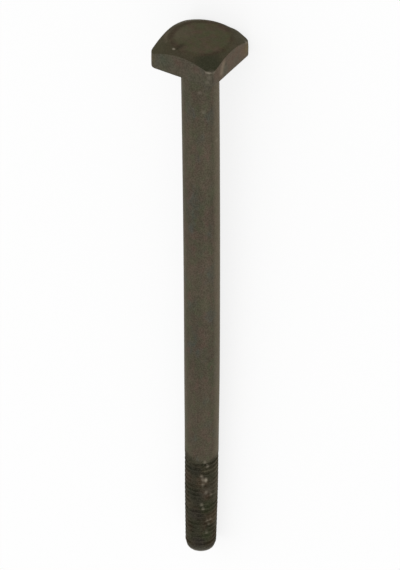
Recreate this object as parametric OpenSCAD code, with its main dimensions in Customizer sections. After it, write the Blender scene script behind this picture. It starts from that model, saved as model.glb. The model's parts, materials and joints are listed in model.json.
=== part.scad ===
// Long square-headed exhaust bolt: one steel forging with a plain round shank
// and a threaded end, lying on a flat surface on the edge of its head and on
// the last full turn of its thread. Millimetres, +Z up, head towards +X.
// The origin is the middle of the part's box, on the surface it lies on.

/* [Head] */
// Width of the square head across its flats
head_w = 18.9; // [15:0.1:24]
// Height of the head along the bolt
head_h = 6.8; // [5:0.1:9]
// Radius of the head's four upright corners
corner_r = 1.9; // [0.8:0.1:3]
// Diameter of the flat disc that the top chamfer leaves
top_d = 16.7; // [12:0.1:18]
// Angle of the turned top chamfer, from the top face
chamfer_deg = 30; // [20:1:40]
// Radius of the worn edge round the bearing face
bearing_edge_r = 0.4; // [0.2:0.05:0.8]

/* [Shank] */
// Diameter of the plain shank
shank_d = 9.7; // [8.5:0.1:11]
// Length of the bolt from the bearing face to the point
length = 165.1; // [80:0.1:220]
// Radius of the fillet between the head and the shank
neck_r = 0.8; // [0.3:0.1:1.4]

/* [Thread] */
// Length of the full thread, with the point
thread_len = 32; // [15:0.5:60]
// Diameter over the crests of the thread
thread_d = 9.3; // [7.8:0.1:9.7]
// Length over which the shank tapers down to the crests
runout_len = 3; // [1:0.5:6]
// Diameter of the flat end of the point
point_d = 7.9; // [6:0.1:8.4]
// Length of the chamfered point
point_len = 1.6; // [0.8:0.1:3]

/* [Hidden] */
$fn = 96;
steel = [0.31, 0.29, 0.25];

// The chamfer's cone is taken well past the head's corners.
envelope_r = head_w;
chamfer_drop = (envelope_r - top_d / 2) * tan(chamfer_deg);
// Corner of the shank's profile at each change of section, measured down from the bearing face
thread_top = length - thread_len;
shank_end = thread_top - runout_len;
point_top = length - point_len;
// The neck starts inside the head, so that the head and the shank are one solid.
root_in_head = head_h / 2;

// Resting pose: the edge of the bearing face and the last full crest both touch the surface.
rest_run = point_top + bearing_edge_r;
rest_rise = head_w / 2 - bearing_edge_r - thread_d / 2;
rest_reach = sqrt(rest_run * rest_run + rest_rise * rest_rise);
rest_tilt = atan2(rest_rise, rest_run) + asin(bearing_edge_r / rest_reach);
axis_height = point_top * sin(rest_tilt) + thread_d / 2 * cos(rest_tilt);
// Ends of the part's box along X, seen from the middle of the bearing face
head_end_x = head_h * cos(rest_tilt) + top_d / 2 * sin(rest_tilt);
point_end_x = -length * cos(rest_tilt) - point_d / 2 * sin(rest_tilt);
box_middle_x = (head_end_x + point_end_x) / 2;

// Square with rounded corners, centred on the bolt's axis
module rounded_square(w, r) {
    reach = w / 2 - r;
    square([w, w - 2 * r], center = true);
    square([w - 2 * r, w], center = true);
    for (x = [-reach, reach], y = [-reach, reach])
        translate([x, y]) circle(r);
}

// Side view of the head's blank: square above, worn round along the bearing face
module blank_side() {
    reach = head_w / 2 - bearing_edge_r;
    translate([-head_w / 2, bearing_edge_r]) square([head_w, head_h - bearing_edge_r]);
    translate([-reach, 0]) square([2 * reach, 2 * bearing_edge_r]);
    for (x = [-reach, reach])
        translate([x, bearing_edge_r]) circle(bearing_edge_r);
}

// The side view drawn through the whole head, across the bolt's local Y
module side_run() {
    rotate([90, 0, 0])
        translate([0, 0, -head_w])
            linear_extrude(2 * head_w) blank_side();
}

// Cone and top face that turning leaves on the head
module turned_top() {
    rotate_extrude()
        polygon([
            [0, -head_h],
            [envelope_r, -head_h],
            [envelope_r, head_h - chamfer_drop],
            [top_d / 2, head_h],
            [0, head_h]
        ]);
}

// Square head, from its bearing face at z = 0 to its top
module head() {
    intersection() {
        linear_extrude(head_h) rounded_square(head_w, corner_r);
        side_run();
        rotate([0, 0, 90]) side_run();
        turned_top();
    }
}

// Half of the shank's section: plain shank, run-out, thread to its crests and chamfered point
module shank_section() {
    polygon([
        [0, root_in_head],
        [shank_d / 2, root_in_head],
        [shank_d / 2, -shank_end],
        [thread_d / 2, -thread_top],
        [thread_d / 2, -point_top],
        [point_d / 2, -length],
        [0, -length]
    ]);
}

// Half of the fillet's section, in the corner under the head
module neck_section() {
    difference() {
        translate([shank_d / 2 - neck_r, -neck_r]) square([2 * neck_r, 2 * neck_r]);
        translate([shank_d / 2 + neck_r, -neck_r]) circle(neck_r);
    }
}

module shank() {
    rotate_extrude() shank_section();
    rotate_extrude() neck_section();
}

// The bolt upright on its own axis: bearing face at z = 0, head above, shank below
module upright_bolt() {
    head();
    shank();
}

// The whole bolt, laid down at rest with one flat of its head on top
module bolt() {
    color(steel)
        translate([-box_middle_x, 0, axis_height])
            rotate([0, -rest_tilt, 0])
                rotate([0, 0, -90])
                    rotate([-90, 0, 0])
                        upright_bolt();
}

bolt();
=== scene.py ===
# Exhaust stud bolt: a long square-headed steel forging with a cut thread, lying at rest.
import json
import math

import bmesh
import bpy
import numpy as np
from mathutils import Matrix, Vector


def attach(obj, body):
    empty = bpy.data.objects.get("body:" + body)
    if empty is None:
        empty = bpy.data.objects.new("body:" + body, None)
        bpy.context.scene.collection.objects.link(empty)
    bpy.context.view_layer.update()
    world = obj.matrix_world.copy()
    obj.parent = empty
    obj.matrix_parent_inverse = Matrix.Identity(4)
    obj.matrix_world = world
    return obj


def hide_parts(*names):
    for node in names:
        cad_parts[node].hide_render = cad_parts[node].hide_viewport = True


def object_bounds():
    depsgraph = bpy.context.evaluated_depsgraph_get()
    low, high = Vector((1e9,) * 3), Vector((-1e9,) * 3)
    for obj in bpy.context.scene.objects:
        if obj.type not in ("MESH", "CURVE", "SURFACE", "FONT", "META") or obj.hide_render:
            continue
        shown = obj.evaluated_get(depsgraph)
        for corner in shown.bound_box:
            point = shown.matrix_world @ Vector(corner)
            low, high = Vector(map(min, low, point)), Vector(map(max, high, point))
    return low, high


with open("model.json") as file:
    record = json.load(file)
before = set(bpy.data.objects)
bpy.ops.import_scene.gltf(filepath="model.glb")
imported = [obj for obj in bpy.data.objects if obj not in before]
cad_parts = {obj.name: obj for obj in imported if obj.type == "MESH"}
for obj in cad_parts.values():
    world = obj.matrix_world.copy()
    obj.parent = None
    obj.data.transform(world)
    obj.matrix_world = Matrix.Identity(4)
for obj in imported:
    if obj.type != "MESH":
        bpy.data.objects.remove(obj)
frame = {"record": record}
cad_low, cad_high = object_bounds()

# ---------------------------------------------------------------------------
# Axis of the bolt. The piece is modelled upright in millimetres, with the head's bearing
# face at z = 0, the head above it and the shank below, and is then laid down where the
# packed mounts say that the solid lies.
# ---------------------------------------------------------------------------
MM = 0.001

mounts = {mount["name"]: mount for mount in frame["record"]["mounts"]}
towards_point = Vector(mounts["shank"]["axis"]).normalized()
shank_place = Vector(mounts["shank"]["pos_m"])
bearing_place = Vector(mounts["bearing_face"]["pos_m"])
under_head = shank_place + towards_point * towards_point.dot(bearing_place - shank_place)

upright_z = -towards_point
upright_x = Vector((0, -1, 0))
upright_y = upright_z.cross(upright_x)
laid_down = Matrix((upright_x, upright_y, upright_z)).transposed().to_4x4()
laid_down = Matrix.Translation(under_head) @ laid_down @ Matrix.Scale(MM, 4)


def down_the_bolt(point):
    """Distance in millimetres from the bearing face towards the point."""
    return towards_point.dot(Vector(point) - under_head) / MM


# ---------------------------------------------------------------------------
# Head: forged square with rounded corners, its top turned off at 30 degrees all round, so
# each side ends in a bowed edge. The rim of the top disc is rounded by wear.
# ---------------------------------------------------------------------------
AROUND = 192
CORNER_STEPS = 20
FLAT_STEPS = (AROUND // 4 - CORNER_STEPS) // 2

head_half = (cad_high.y - cad_low.y) / 2 / MM
head_height = 6.8
corner_radius = 1.9
top_radius = 8.35
chamfer = math.radians(30)
rim_reach = 1.0
rim_crowding = 1.15
side_edge_radius = 0.22
bearing_edge_radius = 0.4

rim_radius = rim_reach / math.tan(chamfer / 2)
rim_start = top_radius - rim_reach
rim_end = top_radius + rim_reach * math.cos(chamfer)


def square_outline():
    """Points and outward directions round the head, starting in the middle of the +x side."""
    centre = head_half - corner_radius
    along = np.arange(FLAT_STEPS) * centre / FLAT_STEPS
    turn = np.linspace(0, math.pi / 2, CORNER_STEPS + 1)
    ones, zeros = np.ones(FLAT_STEPS), np.zeros(FLAT_STEPS)
    side = np.column_stack((head_half * ones, along))
    corner = centre + corner_radius * np.column_stack((np.cos(turn), np.sin(turn)))
    back = np.column_stack((along[:0:-1], head_half * ones[1:]))
    points = np.vstack((side, corner, back))
    normals = np.vstack((
        np.column_stack((ones, zeros)),
        np.column_stack((np.cos(turn), np.sin(turn))),
        np.column_stack((zeros[1:], ones[1:])),
    ))
    all_points, all_normals = [], []
    for quarter in range(4):
        c, s = (1, 0, -1, 0)[quarter], (0, 1, 0, -1)[quarter]
        turned = np.array(((c, s), (-s, c)))
        all_points.append(points @ turned)
        all_normals.append(normals @ turned)
    return np.vstack(all_points), np.vstack(all_normals)


def turned_height(radius):
    """Height of the turned top at a radius: flat disc, rounded rim, then the cone."""
    inner = np.clip(radius - rim_start, 0, rim_end - rim_start)
    rim = head_height - rim_radius + np.sqrt(rim_radius ** 2 - inner ** 2)
    cone = head_height - (radius - top_radius) * math.tan(chamfer)
    return np.where(radius < rim_end, rim, cone)


def ring(points, height):
    """The points of an outline, set at a height or at a height each."""
    return np.column_stack((points, np.broadcast_to(height, len(points))))


# The sharp edge between the turned top and each side is broken by a small radius. How far
# the top leans there decides how much of the radius is left.
outline, outward = square_outline()
reach = np.linalg.norm(outline, axis=1)
small_step = 0.01
steepness = (turned_height(reach - small_step) - turned_height(reach)) / small_step
lean = np.arctan(steepness * np.sum(outward * outline, axis=1) / reach)
edge_turn = math.pi / 2 - lean
edge_centre = turned_height(reach) + side_edge_radius * (
    (1 - np.sin(lean)) * np.tan(lean) - np.cos(lean))

EDGE_RINGS = 5
SIDE_RINGS = 12
edge_rings = []
for step in range(EDGE_RINGS + 1):
    turn = edge_turn * (1 - step / EDGE_RINGS)
    inward = side_edge_radius * (1 - np.cos(turn))
    edge_rings.append(ring(outline - outward * inward[:, None],
                           edge_centre + side_edge_radius * np.sin(turn)))

side_rings = []
for step in range(1, SIDE_RINGS):
    share = step / SIDE_RINGS
    side_rings.append(ring(outline, edge_centre * (1 - share) + bearing_edge_radius * share))

bearing_edge_rings = []
for step in range(EDGE_RINGS + 1):
    turn = math.pi / 2 * step / EDGE_RINGS
    inward = bearing_edge_radius * (1 - math.cos(turn))
    bearing_edge_rings.append(ring(outline - outward * inward,
                                   bearing_edge_radius * (1 - math.sin(turn))))

DISC_RADII = (0.5, 1.2, 2.0, 2.8, 3.5, 4.2, 4.8, 5.4, 6.0, 6.5, 7.0)
RIM_RINGS = 16
top_edge = edge_rings[0][:, :2]
top_reach = np.linalg.norm(top_edge, axis=1)
top_direction = top_edge / top_reach[:, None]
top_rings = [ring(top_direction * radius, head_height) for radius in DISC_RADII]
for step in range(1, RIM_RINGS):
    share = (step / RIM_RINGS) ** rim_crowding
    radius = DISC_RADII[-1] + (top_reach - DISC_RADII[-1]) * share
    top_rings.append(ring(top_direction * radius[:, None], turned_height(radius)))

# ---------------------------------------------------------------------------
# Shank: drawn round bar with a small fillet under the head. It is a little thinner where
# the thread begins, and it has taken a slight bow in use. The bow is bent in last, once the
# whole bolt has its skin.
# ---------------------------------------------------------------------------
# The bar starts a little thick, because its skin is sunk below the surface
skin_allowance = 0.04
shank_radius = mounts["shank"]["dims"]["r_mm"] + skin_allowance
thread_middle = down_the_bolt(mounts["thread"]["pos_m"])
thread_half = mounts["thread"]["dims"]["length_mm"] / 2
# The die's first turns are faint, and lie above the full length of the thread
faint_length = 4.0
thread_start = thread_middle - thread_half - faint_length
point_start = thread_middle + thread_half
point_length = 1.6
bolt_length = point_start + point_length

neck_radius = 0.8
thinning_start = 98.0
thinned_radius = 4.77
bow = 0.48

NECK_RINGS = 6
BEARING_RINGS = 7
SHANK_RINGS = 104

circle_turn = np.arange(AROUND) * 2 * math.pi / AROUND
circle = np.column_stack((np.cos(circle_turn), np.sin(circle_turn)))


def eased(value, low, high):
    """0 below low and 1 above high, with a smooth step between."""
    share = np.clip((value - low) / (high - low), 0, 1)
    return share * share * (3 - 2 * share)


def bar_radius(down):
    """Radius of the bar before its thread is cut, at a distance below the bearing face."""
    thinning = eased(down, thinning_start, thread_start)
    return shank_radius + (thinned_radius - shank_radius) * thinning


# Bearing face, from the head's worn edge in to the foot of the fillet
bearing_rings = []
neck_foot = circle * (shank_radius + neck_radius)
for step in range(1, BEARING_RINGS):
    share = step / BEARING_RINGS
    inner = bearing_edge_rings[-1][:, :2] * (1 - share) + neck_foot * share
    bearing_rings.append(ring(inner, 0.0))

neck_rings = []
for step in range(NECK_RINGS + 1):
    turn = math.pi / 2 * step / NECK_RINGS
    radius = shank_radius + neck_radius * (1 - math.sin(turn))
    neck_rings.append(ring(circle * radius, neck_radius * (math.cos(turn) - 1)))

shank_rings = []
for step in range(1, SHANK_RINGS + 1):
    down = neck_radius + (thread_start - neck_radius) * step / SHANK_RINGS
    shank_rings.append(ring(circle * bar_radius(down), -down))


def skin_rings(mesh, rings, centre=None, centre_at_end=False):
    """Adds rings of points to a bmesh, joined by quads, with a fan to a centre at one end."""
    rows = [[mesh.verts.new(point) for point in row] for row in rings]
    for upper, lower in zip(rows, rows[1:]):
        for i in range(AROUND):
            j = (i + 1) % AROUND
            mesh.faces.new((upper[i], lower[i], lower[j], upper[j]))
    if centre is not None:
        hub = mesh.verts.new(centre)
        rim = rows[-1] if centre_at_end else rows[0]
        for i in range(AROUND):
            j = (i + 1) % AROUND
            mesh.faces.new((rim[j], rim[i], hub) if centre_at_end else (rim[i], rim[j], hub))


head_rings = top_rings + edge_rings + side_rings + bearing_edge_rings + bearing_rings
bolt_mesh = bmesh.new()
skin_rings(bolt_mesh, head_rings + neck_rings + shank_rings, centre=(0, 0, head_height))


# ---------------------------------------------------------------------------
# Thread: right-hand, 16 turns to the inch, cut into the bar with a die, so its first turns
# are faint. The crests are worn, most of all towards the point, which is chamfered.
# ---------------------------------------------------------------------------
pitch = 25.4 / 16
crest_radius = mounts["thread"]["dims"]["r_mm"] + skin_allowance
worn_radius = 4.47
wear_start = 139.5
wear_end = 168.0
thread_depth = 0.42
groove_edge = 0.1
crest_edge = 0.75
fade_in = 2.1
uncut_share = 0.4
fade_out = 1.1
filled = 0.8
dirt_scale = 0.35
dirt_seed = 2.0
point_radius = 4.08
point_edge = 0.1
seam_gap = 0.001
PER_TURN = 12

old_steel = bpy.data.materials.new("old_steel")


class Wire:
    """One output in a node tree. Arithmetic on wires and numbers adds Math nodes."""

    def __init__(self, tree, socket):
        self.tree, self.socket = tree, socket

    def node(self, kind, settings=(), values=(), out=0):
        return add_node(self.tree, kind, settings, values, out)

    def math(self, operation, *others):
        values = dict(enumerate((self,) + others))
        return self.node("ShaderNodeMath", {"operation": operation}, values)

    def __add__(self, other):
        return self.math("ADD", other)

    def __sub__(self, other):
        return self.math("SUBTRACT", other)

    def __rsub__(self, other):
        return self.node("ShaderNodeMath", {"operation": "SUBTRACT"}, {0: other, 1: self})

    def __mul__(self, other):
        return self.math("MULTIPLY", other)

    def __truediv__(self, other):
        return self.math("DIVIDE", other)

    __radd__ = __add__
    __rmul__ = __mul__

    def ease(self, low, high, start=0.0, end=1.0):
        """Smooth step from start to end while this wire goes from low to high."""
        settings = {"interpolation_type": "SMOOTHSTEP"}
        values = {"Value": self, "From Min": low, "From Max": high, "To Min": start, "To Max": end}
        return self.node("ShaderNodeMapRange", settings, values)


def add_node(tree, kind, settings=(), values=(), out=0):
    """Adds a node, makes its settings, fills or links its sockets and returns one output."""
    made = tree.nodes.new(kind)
    for name, setting in dict(settings).items():
        setattr(made, name, setting)
    inputs = [socket for socket in made.inputs if socket.enabled]
    for key, value in dict(values).items():
        if isinstance(key, int):
            socket = inputs[key]
        else:
            socket = next(s for s in inputs if s.name == key)
        if isinstance(value, Wire):
            tree.links.new(value.socket, socket)
        else:
            socket.default_value = value
    outputs = [socket for socket in made.outputs if socket.enabled]
    if isinstance(out, str):
        return Wire(tree, next(s for s in outputs if s.name == out))
    return Wire(tree, outputs[out]) if outputs else None


def shape_tree(name, inputs):
    """A geometry tree with named inputs, and a wire for each of them."""
    tree = bpy.data.node_groups.new(name, "GeometryNodeTree")
    tree.interface.new_socket("Geometry", in_out="OUTPUT", socket_type="NodeSocketGeometry")
    for socket_name, socket_type in inputs.items():
        tree.interface.new_socket(socket_name, in_out="INPUT", socket_type=socket_type)
    entry = tree.nodes.new("NodeGroupInput")
    return tree, {n: Wire(tree, entry.outputs[n]) for n in inputs}


def end_tree(tree, shape, material):
    """Ends a tree in Realize Instances and Set Material."""
    real = shape.node("GeometryNodeRealizeInstances", (), {0: shape})
    dressed = real.node("GeometryNodeSetMaterial", (), {"Geometry": real, "Material": material})
    add_node(tree, "NodeGroupOutput", (), {"Geometry": dressed})


def grown_mesh(name, mesh, tree, values):
    """Runs a geometry tree on a mesh and returns the plain mesh that it makes."""
    carrier = bpy.data.objects.new(name, mesh)
    bpy.context.scene.collection.objects.link(carrier)
    modifier = carrier.modifiers.new(name, "NODES")
    modifier.node_group = tree
    for item in tree.interface.items_tree:
        if item.in_out == "INPUT" and item.name in values:
            modifier[item.identifier] = values[item.name]
    bpy.context.view_layer.update()
    ready = carrier.evaluated_get(bpy.context.evaluated_depsgraph_get())
    plain = bpy.data.meshes.new_from_object(ready)
    carrier.modifiers.clear()
    bpy.data.objects.remove(carrier)
    return plain


float_in, whole_in, shape_in = "NodeSocketFloat", "NodeSocketInt", "NodeSocketGeometry"
tree, given = shape_tree("cut_thread", {
    "Geometry": shape_in, "Around": whole_in, "Rows": whole_in, "Rows per turn": whole_in,
    "Pitch": float_in, "Start": float_in, "End": float_in, "Bar radius": float_in,
    "Worn radius": float_in, "Wear start": float_in, "Wear end": float_in, "Depth": float_in,
    "Groove edge": float_in, "Crest edge": float_in, "Filled": float_in,
    "Dirt scale": float_in, "Dirt seed": float_in, "Fade in": float_in,
    "Uncut share": float_in, "Fade out": float_in, "Point start": float_in,
    "Point radius": float_in, "Seam gap": float_in, "Material": "NodeSocketMaterial",
})
# The grid is rolled once round the bar. Each column lies a little higher than the one before,
# by one pitch in the whole turn, so that the rows wind round the bolt as the thread does.
columns = given["Around"] + 1
grid = add_node(tree, "GeometryNodeMeshGrid", (), {
    "Size X": 1.0, "Size Y": 1.0, "Vertices X": columns, "Vertices Y": given["Rows"]})
index = add_node(tree, "GeometryNodeInputIndex")
column = (index / given["Rows"]).math("FLOOR")
row = index - column * given["Rows"]
turn = column / given["Around"]
turns_down = row / given["Rows per turn"]
lowest = (given["Start"] + (turns_down - turn) * given["Pitch"]).math("MINIMUM", given["End"])
down = lowest.math("MAXIMUM", given["Start"])
# The profile across one turn: 0 in the groove and 1 on the crest, with rounded edges
phase = turns_down.math("FRACT")
flank = (phase * 2 - 1).math("ABSOLUTE")
crest = flank.ease(given["Groove edge"], given["Crest edge"])
# The bar wears thinner down the thread, and the cut fades in at the top and out at the point
bar = down.ease(given["Wear start"], given["Wear end"], given["Bar radius"], given["Worn radius"])
first_cut = given["Start"] + given["Fade in"] * given["Uncut share"]
cut = down.ease(first_cut, given["Start"] + given["Fade in"])
cut = cut * down.ease(given["End"] - given["Fade out"], given["End"], 1.0, 0.0)
angle = turn * (2 * math.pi)
face = add_node(tree, "ShaderNodeCombineXYZ", (), {
    "X": bar * angle.math("COSINE"), "Y": bar * angle.math("SINE"), "Z": down * -1})
# Dirt fills the groove in patches
dirt = face.node("ShaderNodeTexNoise", {"noise_dimensions": "4D"}, {
    "Vector": face, "W": given["Dirt seed"], "Scale": given["Dirt scale"], "Detail": 2.0})
cut = cut * (1 - given["Filled"] * dirt.ease(0.35, 0.65))
threaded = bar - given["Depth"] * cut * (1 - crest)
# The point's cone cuts off what stands outside it
down_share = (down - given["Point start"]) / (given["End"] - given["Point start"])
point_cone = bar + (given["Point radius"] - bar) * down_share
radius = threaded.math("MINIMUM", point_cone.math("MAXIMUM", given["Point radius"]))
spot = add_node(tree, "ShaderNodeCombineXYZ", (), {
    "X": radius * angle.math("COSINE"), "Y": radius * angle.math("SINE"), "Z": down * -1})
wound = add_node(tree, "GeometryNodeSetPosition", (), {"Geometry": grid, "Position": spot})
closed = add_node(tree, "GeometryNodeMergeByDistance", (), {
    "Geometry": wound, "Distance": given["Seam gap"]})
end_tree(tree, closed, given["Material"])

thread_end = bolt_length - point_edge
rows = math.ceil(((thread_end - thread_start) / pitch + 1) * PER_TURN) + 1
thread = grown_mesh("thread", bpy.data.meshes.new("thread"), tree, {
    "Around": AROUND, "Rows": rows, "Rows per turn": PER_TURN, "Pitch": pitch,
    "Start": thread_start, "End": thread_end, "Bar radius": float(bar_radius(thread_start)),
    "Worn radius": worn_radius, "Wear start": wear_start, "Wear end": wear_end,
    "Depth": thread_depth, "Groove edge": groove_edge, "Crest edge": crest_edge,
    "Filled": filled, "Dirt scale": dirt_scale, "Dirt seed": dirt_seed, "Fade in": fade_in,
    "Uncut share": uncut_share, "Fade out": fade_out, "Point start": point_start,
    "Point radius": point_radius, "Seam gap": seam_gap, "Material": old_steel,
})
bolt_mesh.from_mesh(thread)

# Flat end of the point
END_RADII = (3.2, 2.6, 2.0, 1.4, 0.8, 0.4)
point_rings = []
for step in range(EDGE_RINGS):
    turn = math.pi / 2 * step / (EDGE_RINGS - 1)
    point_rings.append(ring(circle * (point_radius - point_edge * (1 - math.cos(turn))),
                            -(bolt_length - point_edge * (1 - math.sin(turn)))))
point_rings += [ring(circle * radius, -bolt_length) for radius in END_RADII]
skin_rings(bolt_mesh, point_rings, centre=(0, 0, -bolt_length), centre_at_end=True)

bmesh.ops.remove_doubles(bolt_mesh, verts=bolt_mesh.verts, dist=2 * seam_gap)
bmesh.ops.recalc_face_normals(bolt_mesh, faces=bolt_mesh.faces)
plain_bolt = bpy.data.meshes.new("plain_bolt")
bolt_mesh.to_mesh(plain_bolt)
bolt_mesh.free()

# ---------------------------------------------------------------------------
# Skin: the small lumps and hollows that forging, handling and old rust left. Each vertex
# keeps its smooth place in millimetres and its smooth direction, which the steel reads.
# ---------------------------------------------------------------------------
head_lumps = 0.08
head_skin = 0.05
shank_skin = 0.03
thread_skin = 0.1
lump_scale = 0.16
skin_scale = 0.75

tree, given = shape_tree("forged_skin", {
    "Geometry": shape_in, "Head lumps": float_in, "Head skin": float_in, "Shank skin": float_in,
    "Thread skin": float_in, "Lump scale": float_in, "Skin scale": float_in,
    "Thread start": float_in, "Material": "NodeSocketMaterial",
})
place = add_node(tree, "GeometryNodeInputPosition")
normal = add_node(tree, "GeometryNodeInputNormal")
height = place.node("ShaderNodeSeparateXYZ", (), {0: place}, "Z")
on_head = height.ease(-1.5, 0.5)
in_thread = (height + given["Thread start"]).ease(0.0, -2.0)
lumps = place.node("ShaderNodeTexNoise", (), {
    "Vector": place, "Scale": given["Lump scale"], "Detail": 1.0})
skin = place.node("ShaderNodeTexNoise", (), {
    "Vector": place, "Scale": given["Skin scale"], "Detail": 3.0})
sunk = given["Shank skin"] + on_head * (given["Head skin"] - given["Shank skin"])
sunk = skin * (sunk + in_thread * given["Thread skin"]) + lumps * on_head * given["Head lumps"]
inward = normal.node("ShaderNodeVectorMath", {"operation": "SCALE"},
                     {"Vector": normal, "Scale": sunk * -1})
kept = given["Geometry"]
vector_at_points = {"data_type": "FLOAT_VECTOR", "domain": "POINT"}
for name, value in (("bolt_mm", place), ("bolt_way", normal)):
    kept = kept.node("GeometryNodeStoreNamedAttribute", vector_at_points, {
        "Geometry": kept, "Name": name, "Value": value})
sunken = place.node("GeometryNodeSetPosition", (), {"Geometry": kept, "Offset": inward})
end_tree(tree, sunken, given["Material"])
bolt_skin = grown_mesh("forged_skin", plain_bolt, tree, {
    "Head lumps": head_lumps, "Head skin": head_skin, "Shank skin": shank_skin,
    "Thread skin": thread_skin, "Lump scale": lump_scale, "Skin scale": skin_scale,
    "Thread start": thread_start, "Material": old_steel})
bpy.data.meshes.remove(plain_bolt)


def press(mesh, ends, width, depth):
    """Presses a smooth hollow along a line between two places. A negative depth raises a burr."""
    spots = np.empty(len(mesh.vertices) * 3)
    normals = np.empty(len(mesh.vertices) * 3)
    mesh.vertices.foreach_get("co", spots)
    mesh.vertex_normals.foreach_get("vector", normals)
    spots, normals = spots.reshape(-1, 3), normals.reshape(-1, 3)
    first, last = np.array(ends[0], float), np.array(ends[-1], float)
    line = last - first
    share = np.clip((spots - first) @ line / max(line @ line, 1e-9), 0, 1)
    gap = np.linalg.norm(spots - first - share[:, None] * line, axis=1)
    amount = depth * (1 - eased(gap, 0, width))
    spots -= normals * amount[:, None]
    mesh.vertices.foreach_set("co", spots.ravel())
    mesh.update()


# Each dent has its places, its width and its depth: a gouge across the rim of the head, the
# burr at its end, a crushed corner in front, a proud spot that the turning tool missed on
# the far edge, and a crushed corner beside it
dents = (
    (((-2.5, -7.3, 6.8), (-2.05, -4.8, 6.8)), 1.0, 0.2),
    (((-3.05, -7.85, 6.75),), 0.6, -0.12),
    (((8.6, -8.6, 4.4),), 2.2, 0.3),
    (((5.0, 8.6, 5.8),), 2.4, -0.25),
    (((8.4, 8.8, 4.6),), 2.2, 0.22),
)
for ends, width, depth in dents:
    press(bolt_skin, ends, width, depth)

# The bow: a shallow arch from the head to the point, then the whole bolt is laid down
spots = np.empty(len(bolt_skin.vertices) * 3)
bolt_skin.vertices.foreach_get("co", spots)
spots = spots.reshape(-1, 3)
share = np.clip(-spots[:, 2] / bolt_length, 0, 1)
spots[:, 0] += bow * 4 * share * (1 - share)
bolt_skin.vertices.foreach_set("co", spots.ravel())
bolt_skin.transform(laid_down)
bolt_skin.shade_smooth()
bolt_skin.update()

# ---------------------------------------------------------------------------
# Old steel: bare and oiled, dark grey-brown and finely mottled in olive and brown. The
# head's top keeps a darker ring of scale, the thread holds grime and rust, and a few edges
# and scars are rubbed bright. Light and shade are painted in as well: one side of the head
# and of the shank painted lighter, painted shade on the front of the cone, in the gouge, in
# the grooves and under the head, and painted glints on crests and edges.
# ---------------------------------------------------------------------------
def shade(red, green, blue):
    """A colour written as screen values, as the linear colour that Blender uses."""
    levels = [value / 255 for value in (red, green, blue)]
    return [v / 12.92 if v <= 0.04045 else ((v + 0.055) / 1.055) ** 2.4 for v in levels] + [1.0]


old_steel.use_nodes = True
tree = old_steel.node_tree
tree.nodes.clear()


def mixed(factor, first, second):
    """The first colour where the factor is 0, and the second where it is 1."""
    return add_node(tree, "ShaderNodeMix", {"data_type": "RGBA"},
                    {"Factor": factor, "A": first, "B": second})


bolt_mm = add_node(tree, "ShaderNodeAttribute", {"attribute_name": "bolt_mm"}, (), "Vector")
bolt_way = add_node(tree, "ShaderNodeAttribute", {"attribute_name": "bolt_way"}, (), "Vector")
along_x = bolt_mm.node("ShaderNodeSeparateXYZ", (), {0: bolt_mm}, "X")
along_y = bolt_mm.node("ShaderNodeSeparateXYZ", (), {0: bolt_mm}, "Y")
along_z = bolt_mm.node("ShaderNodeSeparateXYZ", (), {0: bolt_mm}, "Z")
drawn_out = bolt_mm.node("ShaderNodeVectorMath", {"operation": "MULTIPLY"},
                         {0: bolt_mm, 1: (1.0, 1.0, 0.6)})


def mottle(scale, detail=2.0, shift=0.0, vector=drawn_out):
    """Noise from 0 to 1 over the bolt, with patches about 1/scale millimetres across."""
    return vector.node("ShaderNodeTexNoise", {"noise_dimensions": "4D"},
                       {"Vector": vector, "W": shift, "Scale": scale, "Detail": detail})


def near(place, width, heart=0.0, space=bolt_mm):
    """1 at a place on the bolt, in millimetres, falling to 0 at the given width."""
    gap = space.node("ShaderNodeVectorMath", {"operation": "DISTANCE"}, {0: space, 1: place}, "Value")
    return gap.ease(heart, width, 1.0, 0.0)


def round_shank(angle, down, radius):
    """A place on the shank, from its angle in degrees and its distance below the bearing face."""
    turn = math.radians(angle)
    return (radius * math.cos(turn), radius * math.sin(turn), -down)


patches = mottle(0.42, 2.0, 1.0)
stains = mottle(0.33, 2.0, 7.0)
blush = mottle(0.55, 1.0, 17.0)
clouds = mottle(0.07, 1.0, 23.0)
grain = mottle(0.85, 2.0, 3.0)
speckle = mottle(3.0, 2.0, 5.0, bolt_mm)
colour = mixed(patches.ease(0.3, 0.7), shade(74, 78, 58), shade(86, 72, 63))
colour = mixed(stains.ease(0.5, 0.72) * 0.7, colour, shade(68, 76, 73))
colour = mixed(blush.ease(0.52, 0.72) * 0.65, colour, shade(90, 71, 63))
colour = mixed(grain.ease(0.3, 0.7) * 0.7, colour, shade(71, 66, 54))
colour = mixed(clouds.ease(0.35, 0.65) * 0.1, colour, shade(122, 108, 90))
on_side = along_z.ease(-0.3, 0.1)
colour = mixed(on_side * 0.45, colour, shade(78, 75, 64))

# Tints on the left side of the head: place along the side, height, width and tint
side_tints = (
    (-8.7, 2.9, 2.0, shade(96, 86, 60)), (-5.0, 3.4, 2.4, shade(64, 76, 62)),
    (-0.6, 4.3, 2.0, shade(94, 70, 62)), (4.4, 4.0, 2.0, shade(94, 72, 66)),
    (9.3, 2.4, 2.4, shade(60, 57, 48)),
)
for place_x, place_z, width, tint in side_tints:
    colour = mixed(near((place_x, -9.4, place_z), width) * 0.5, colour, tint)

# Painted light: a paler stripe along one side of the shank, where light falls on it. Painted shade: a
# darker olive patch just under the head, where the head shades the shank
painted_light_side = (along_x * 0.98 + along_y * 0.17) / shank_radius
colour = mixed(painted_light_side.ease(0.84, 1.0) * (1 - on_side) * 0.6, colour, shade(114, 104, 87))
colour = mixed(near(round_shank(-100, 2.0, 4.8), 6.0) * 0.5, colour, shade(68, 72, 53))
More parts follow.
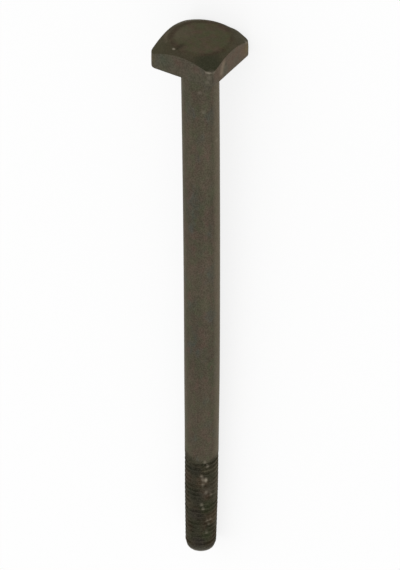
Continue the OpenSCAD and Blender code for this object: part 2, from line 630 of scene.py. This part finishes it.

# Scale on the head's turned top: a brown ring round the disc, a little off its middle, and
# a dull cone. The front of the cone is darkened by painted shade, darkest on the front corner
turned_up = bolt_way.node("ShaderNodeSeparateXYZ", (), {0: bolt_way}, "Z")
on_turned = turned_up.ease(0.35, 0.7)
ring_x, ring_y = along_x - 0.4, along_y - 0.3
from_ring = (ring_x * ring_x + ring_y * ring_y).math("SQRT")
top_scale_and_shade = mixed(patches.ease(0.3, 0.7), shade(75, 77, 54), shade(86, 72, 59))
top_scale_and_shade = mixed(blush.ease(0.5, 0.7) * 0.6, top_scale_and_shade, shade(80, 76, 50))
top_scale_and_shade = mixed(near((-5.0, -0.8, 6.8), 4.5, 1.0) * 0.6, top_scale_and_shade, shade(92, 84, 69))
top_scale_and_shade = mixed(from_ring.ease(7.8, 8.8) * 0.7, top_scale_and_shade, shade(68, 62, 49))
ring_mask = from_ring.ease(6.3, 7.7) * from_ring.ease(8.8, 7.8) * grain.ease(0.3, 0.6, 0.5, 1.0)
ring_mask = ring_mask * (1 - near((2.0, -8.0, 6.7), 5.0) * 0.5)
top_scale_and_shade = mixed(ring_mask * 0.75, top_scale_and_shade, shade(57, 44, 34))
# A short arc of the disc's rim is rubbed
worn_rim_radius = 8.7
for angle in range(191, 222, 6):
    turn = math.radians(angle)
    rim_place = (worn_rim_radius * math.cos(turn), worn_rim_radius * math.sin(turn), 6.6)
    top_scale_and_shade = mixed(near(rim_place, 0.9) * 0.35, top_scale_and_shade, shade(124, 112, 94))
# Tints on the cone: place, width, width of the full tint, strength and tint
cone_tints = (
    ((-8.2, -7.6, 5.3), 4.5, 1.0, 0.75, shade(77, 74, 56)),
    ((7.6, 7.2, 5.6), 4.5, 1.0, 0.6, shade(78, 75, 60)),
    ((9.2, 2.0, 6.2), 3.2, 0.0, 0.5, shade(84, 78, 62)),
)
for place, width, heart, strength, tint in cone_tints:
    top_scale_and_shade = mixed(near(place, width, heart) * strength, top_scale_and_shade, tint)
# Painted shade on the front of the cone, darkest on the front corner
front_cone_shade = near((7.2, -7.6, 5.6), 5.0, 1.8) * from_ring.ease(7.6, 8.6)
top_scale_and_shade = mixed(front_cone_shade * 0.85, top_scale_and_shade, shade(50, 53, 38))
top_scale_and_shade = mixed(grain.ease(0.25, 0.75) * 0.2, top_scale_and_shade, shade(58, 56, 42))
# Painted shade in the hollow of the gouge
for share in (0.0, 0.33, 0.67, 1.0):
    slot_place = (-2.3 + 0.22 * share, -7.0 + 2.1 * share, 6.75)
    top_scale_and_shade = mixed(near(slot_place, 1.2) * 0.5, top_scale_and_shade, shade(38, 36, 24))
colour = mixed(on_turned, colour, top_scale_and_shade)

# Painted light: one side of the head is painted lighter, as light falls on it, and a strip toward its
# near edge carries a painted highlight
lit_face = bolt_way.node("ShaderNodeSeparateXYZ", (), {0: bolt_way}, "X").ease(0.8, 0.99)
lit_face = lit_face * along_z.ease(-0.1, 0.2)
lit_face_tint = mixed(blush.ease(0.3, 0.7), shade(92, 87, 75), shade(102, 84, 72))
lit_face_tint = mixed(near((9.45, 6.0, 2.8), 3.0) * 0.5, lit_face_tint, shade(118, 90, 68))
lit_face_tint = mixed(near((9.4, 8.1, 2.8), 3.0) * 0.7, lit_face_tint, shade(120, 107, 68))
lit_face_tint = mixed(grain.ease(0.25, 0.75) * 0.3, lit_face_tint, shade(80, 71, 61))
colour = mixed(lit_face * 0.9, colour, lit_face_tint)
# Painted highlight in a strip toward the near edge of the lit side
edge_highlight = near((9.45, -3.9, 4.6), 1.3) + near((9.4, -4.5, 3.6), 1.4)
edge_highlight = edge_highlight + near((9.4, -4.9, 2.3), 1.4)
colour = mixed(edge_highlight.math("MINIMUM", 1.0) * 0.7, colour, shade(138, 124, 106))

# The front corner's tip is rubbed, and keeps the side's colour instead of the cone's painted shade
colour = mixed(near((8.9, -8.9, 4.6), 1.4) * 0.8, colour, shade(84, 79, 67))

# The bearing face, facing down under the head, is darker
bearing_face_dark = turned_up.ease(-0.05, -0.5) * along_z.ease(-0.3, -0.1)
colour = mixed(bearing_face_dark * 0.75, colour, shade(58, 55, 44))

# Grime and rust in the thread. The grooves are darker, with painted shade and dirt, most of all where
# the die ran out.
below_start = along_z * -1 - thread_start
helix = below_start / pitch + along_y.math("ARCTAN2", along_x) / (2 * math.pi)
groove = (helix.math("FRACT") * 2 - 1).math("ABSOLUTE").ease(0.8, 0.1)
groove = groove * below_start.ease(0.9, 1.7)
groove = groove * along_z.ease(-point_start - 0.4, -point_start + 0.8)
clean_turn = (along_x * 0.67 - along_y * 0.74) / shank_radius
on_thread = (below_start + blush * 0.8 + clean_turn.ease(0.3, 0.95, 1.9, 0.0)).ease(1.2, 3.0)
grime = mixed(patches.ease(0.35, 0.65), shade(48, 50, 34), shade(58, 48, 35))
grime = mixed(stains.ease(0.48, 0.66) * 0.6, grime, shade(46, 48, 36))
# Stains in the grime: angle, distance down, width and tint
grime_stains = (
    (-60, 138.2, 2.8, shade(84, 67, 52)), (-46, 142.8, 3.0, shade(66, 44, 30)),
    (-85, 134.0, 2.8, shade(41, 42, 36)), (-95, 138.5, 2.6, shade(46, 46, 34)),
    (-80, 143.6, 3.6, shade(36, 42, 32)), (-40, 133.6, 1.8, shade(86, 82, 64)),
    (-72, 146.0, 2.6, shade(46, 44, 35)), (-82, 130.9, 1.6, shade(64, 63, 48)),
    (-78, 150.6, 3.2, shade(49, 46, 42)), (-34, 148.0, 3.4, shade(53, 59, 37)),
    (-34, 159.0, 3.0, shade(60, 67, 44)), (-5, 152.5, 3.8, shade(80, 65, 47)),
    (-122, 137.5, 3.6, shade(76, 62, 51)), (-68, 161.2, 3.0, shade(54, 48, 46)),
    (-5, 141.0, 4.2, shade(70, 64, 52)), (-120, 147.0, 3.6, shade(70, 64, 50)),
    (6, 134.0, 3.0, shade(84, 77, 61)),
)
for angle, down, width, tint in grime_stains:
    grime = mixed(near(round_shank(angle, down, 4.5), width, width / 3) * 0.7, grime, tint)
rust_spot = near(round_shank(-44, 142.4, 4.5), 3.4) * blush.ease(0.3, 0.55)
grime = mixed(0.05, grime, shade(12, 12, 8))
colour = mixed(on_thread, colour, grime)
# Painted light: the paler stripe on the shank's side carries on over the grime
colour = mixed(painted_light_side.ease(0.84, 1.0) * on_thread * 0.3, colour, shade(110, 101, 86))
# Painted shade and dirt in the grooves
groove_shade_and_dirt = groove * below_start.ease(2.0, 9.0, 0.65, 0.18) * patches.ease(0.2, 0.6, 0.7, 1.0)
colour = mixed(groove_shade_and_dirt, colour, shade(36, 34, 23))
# Painted shade and dirt in the first faint turn, and the grey, rubbed point
for angle, down in ((-116, 129.9), (-103, 129.8), (-91, 129.9), (-20, 130.7), (-8, 130.3)):
    colour = mixed(near(round_shank(angle, down, 4.7), 1.4) * 0.6, colour, shade(46, 45, 33))
colour = mixed(along_z.ease(-162.8, -164.0) * 0.55, colour, shade(88, 86, 80))
from_axis = (along_x * along_x + along_y * along_y).math("SQRT")
tip_rim = along_z.ease(-bolt_length + 0.9, -bolt_length + 0.3) * from_axis.ease(3.3, 3.9)
colour = mixed(tip_rim * patches.ease(0.25, 0.7, 0.3, 0.75), colour, shade(150, 147, 139))

# Fine salt and pepper all over
salt_and_pepper = mixed(speckle.ease(0.3, 0.7), shade(36, 34, 25), shade(116, 110, 97))
colour = mixed(0.24 - on_turned * 0.13, colour, salt_and_pepper)

# Painted glints on the thread's crests, where light catches them: angle on the thread,
# distance down and strength
crest_glints = (
    (-58, 136.1, 0.5), (-53, 137.2, 0.3), (-43, 137.4, 0.8), (-54, 139.2, 0.4), (-42, 142.0, 0.2),
    (-23, 143.3, 0.25), (-57, 146.7, 0.3), (-52, 148.2, 0.35), (-36, 152.9, 0.25), (-23, 152.9, 0.3),
    (-30, 154.2, 0.25), (-38, 157.5, 0.25), (-37, 132.4, 0.35), (-47, 130.7, 0.25),
)
glints_and_scars = 0
for angle, down, strength in crest_glints:
    tall_place = round_shank(angle, down * 0.6, crest_radius)
    glints_and_scars = glints_and_scars + near(tall_place, 0.75, 0.0, drawn_out) * strength
# Painted highlights on the head's edges and corner, and a few small bright scars: place, width and
# strength
highlights_and_scars = (
    ((-3.0, -7.65, 6.8), 0.6, 0.8), ((8.4, -9.3, 4.35), 0.75, 0.85), ((7.7, -9.4, 4.2), 0.7, 0.35),
    ((9.0, -9.0, 4.4), 0.8, 0.35), ((8.4, -9.3, 2.8), 1.0, 0.18), ((8.0, -9.3, 1.4), 1.0, 0.15),
    ((2.45, -4.2, -6.6), 0.8, 0.15), ((3.2, -3.7, -12.5), 0.8, 0.15), ((4.85, -0.1, -22.6), 0.8, 0.2),
    ((9.4, -8.3, 4.4), 0.8, 0.3), ((9.4, 7.0, 4.8), 0.8, 0.4),
)
for place, width, strength in highlights_and_scars:
    glints_and_scars = glints_and_scars + near(place, width) * strength
colour = mixed(glints_and_scars.math("MINIMUM", 1.0), colour, shade(165, 156, 140))

roughness = 0.42 + 0.12 * grain + on_thread * 0.12 + on_turned * 0.1
bump_depth = 0.03 * MM
bump_height = mottle(2.4, 4.0, 11.0, bolt_mm)
bump = add_node(tree, "ShaderNodeBump", (), {
    "Strength": 0.5, "Distance": bump_depth, "Height": bump_height})
steel = add_node(tree, "ShaderNodeBsdfPrincipled", (), {
    "Base Color": colour, "Metallic": 1.0 - rust_spot * 0.4, "Roughness": roughness, "Normal": bump,
    "Specular Tint": (0.78, 0.75, 0.69, 1.0)})
add_node(tree, "ShaderNodeOutputMaterial", (), {"Surface": steel})

bolt_skin.materials.clear()
bolt_skin.materials.append(old_steel)
bolt = bpy.data.objects.new("square_head_bolt", bolt_skin)
bpy.context.scene.collection.objects.link(bolt)
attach(bolt, "root")
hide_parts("bolt")

# ---------------------------------------------------------------------------
# Studio: a plain pale floor of matt paint, a soft white surround and two large soft lamps.
# The floor keeps the bolt's shadow, and steel that mirrors it sees nearly plain white.
# ---------------------------------------------------------------------------
FLOOR_HALF = 3.0
floor_mesh = bpy.data.meshes.new("floor")
floor_corners = [(x * FLOOR_HALF, y * FLOOR_HALF, 0) for x, y in ((-1, -1), (1, -1), (1, 1), (-1, 1))]
floor_mesh.from_pydata(floor_corners, [], [(0, 1, 2, 3)])
floor = bpy.data.objects.new("floor", floor_mesh)
bpy.context.scene.collection.objects.link(floor)
floor_paint = bpy.data.materials.new("floor_paint")
floor_paint.use_nodes = True
tree = floor_paint.node_tree
tree.nodes.clear()
matt = add_node(tree, "ShaderNodeBsdfDiffuse", (), {"Color": (0.95, 0.95, 0.95, 1.0)})
glow = add_node(tree, "ShaderNodeEmission", (), {"Color": (1.0, 1.0, 1.0, 1.0), "Strength": 1.0})
seen = add_node(tree, "ShaderNodeLightPath", (), (), "Is Camera Ray")
mirrored = add_node(tree, "ShaderNodeLightPath", (), (), "Is Glossy Ray")
through = add_node(tree, "ShaderNodeLightPath", (), (), "Is Transmission Ray")
own_white = (seen + mirrored + through).math("MINIMUM", 1.0) * 0.8
lit = add_node(tree, "ShaderNodeMixShader", (), {0: own_white, 1: matt, 2: glow})
add_node(tree, "ShaderNodeOutputMaterial", (), {"Surface": lit})
floor_mesh.materials.append(floor_paint)

world = bpy.data.worlds.new("surround")
bpy.context.scene.world = world
world.use_nodes = True
surround = world.node_tree.nodes["Background"]
surround.inputs["Color"].default_value = (1.0, 1.0, 1.0, 1.0)
surround.inputs["Strength"].default_value = 0.95


def soft_lamp(name, azimuth, elevation, distance, width, power):
    """A square soft lamp that faces the bolt. Azimuth 0 is on the -Y side, 90 on the +X side."""
    data = bpy.data.lights.new(name, "AREA")
    data.shape = "SQUARE"
    data.size = width
    data.energy = power
    lamp = bpy.data.objects.new(name, data)
    a, e = math.radians(azimuth), math.radians(elevation)
    way = Vector((math.sin(a) * math.cos(e), -math.cos(a) * math.cos(e), math.sin(e)))
    lamp.location = way * distance
    lamp.rotation_euler = lamp.location.to_track_quat("Z", "Y").to_euler()
    bpy.context.scene.collection.objects.link(lamp)


soft_lamp("side_lamp", -25, 30, 1.2, 0.9, 0.8)
soft_lamp("back_lamp", 200, 55, 1.4, 1.0, 0.8)

# ---------------------------------------------------------------------------
# Camera: a long lens that looks down the bolt from beyond its head, turned on its axis so
# that the head is on top.
# ---------------------------------------------------------------------------
aim = Vector((7.31, 0.09, 7.39)) * MM
view_distance = 777.5 * MM
view_azimuth = math.radians(54.9)
view_elevation = math.radians(43.46)
view_roll = math.radians(133.39)
lens_mm = 183.7

forward = Vector((-math.sin(view_azimuth) * math.cos(view_elevation),
                  math.cos(view_azimuth) * math.cos(view_elevation),
                  -math.sin(view_elevation)))
level_right = forward.cross(Vector((0, 0, 1))).normalized()
level_up = level_right.cross(forward)
up = level_up * math.cos(view_roll) + level_right * math.sin(view_roll)
right = forward.cross(up)
camera_data = bpy.data.cameras.new("camera")
camera_data.lens = lens_mm
camera_data.clip_start = 0.05
camera_data.clip_end = 20.0
camera = bpy.data.objects.new("camera", camera_data)
camera.matrix_world = (Matrix.Translation(aim - forward * view_distance)
                       @ Matrix((right, up, -forward)).transposed().to_4x4())
bpy.context.scene.collection.objects.link(camera)
bpy.context.scene.camera = camera
bpy.context.scene.view_settings.view_transform = "Standard"
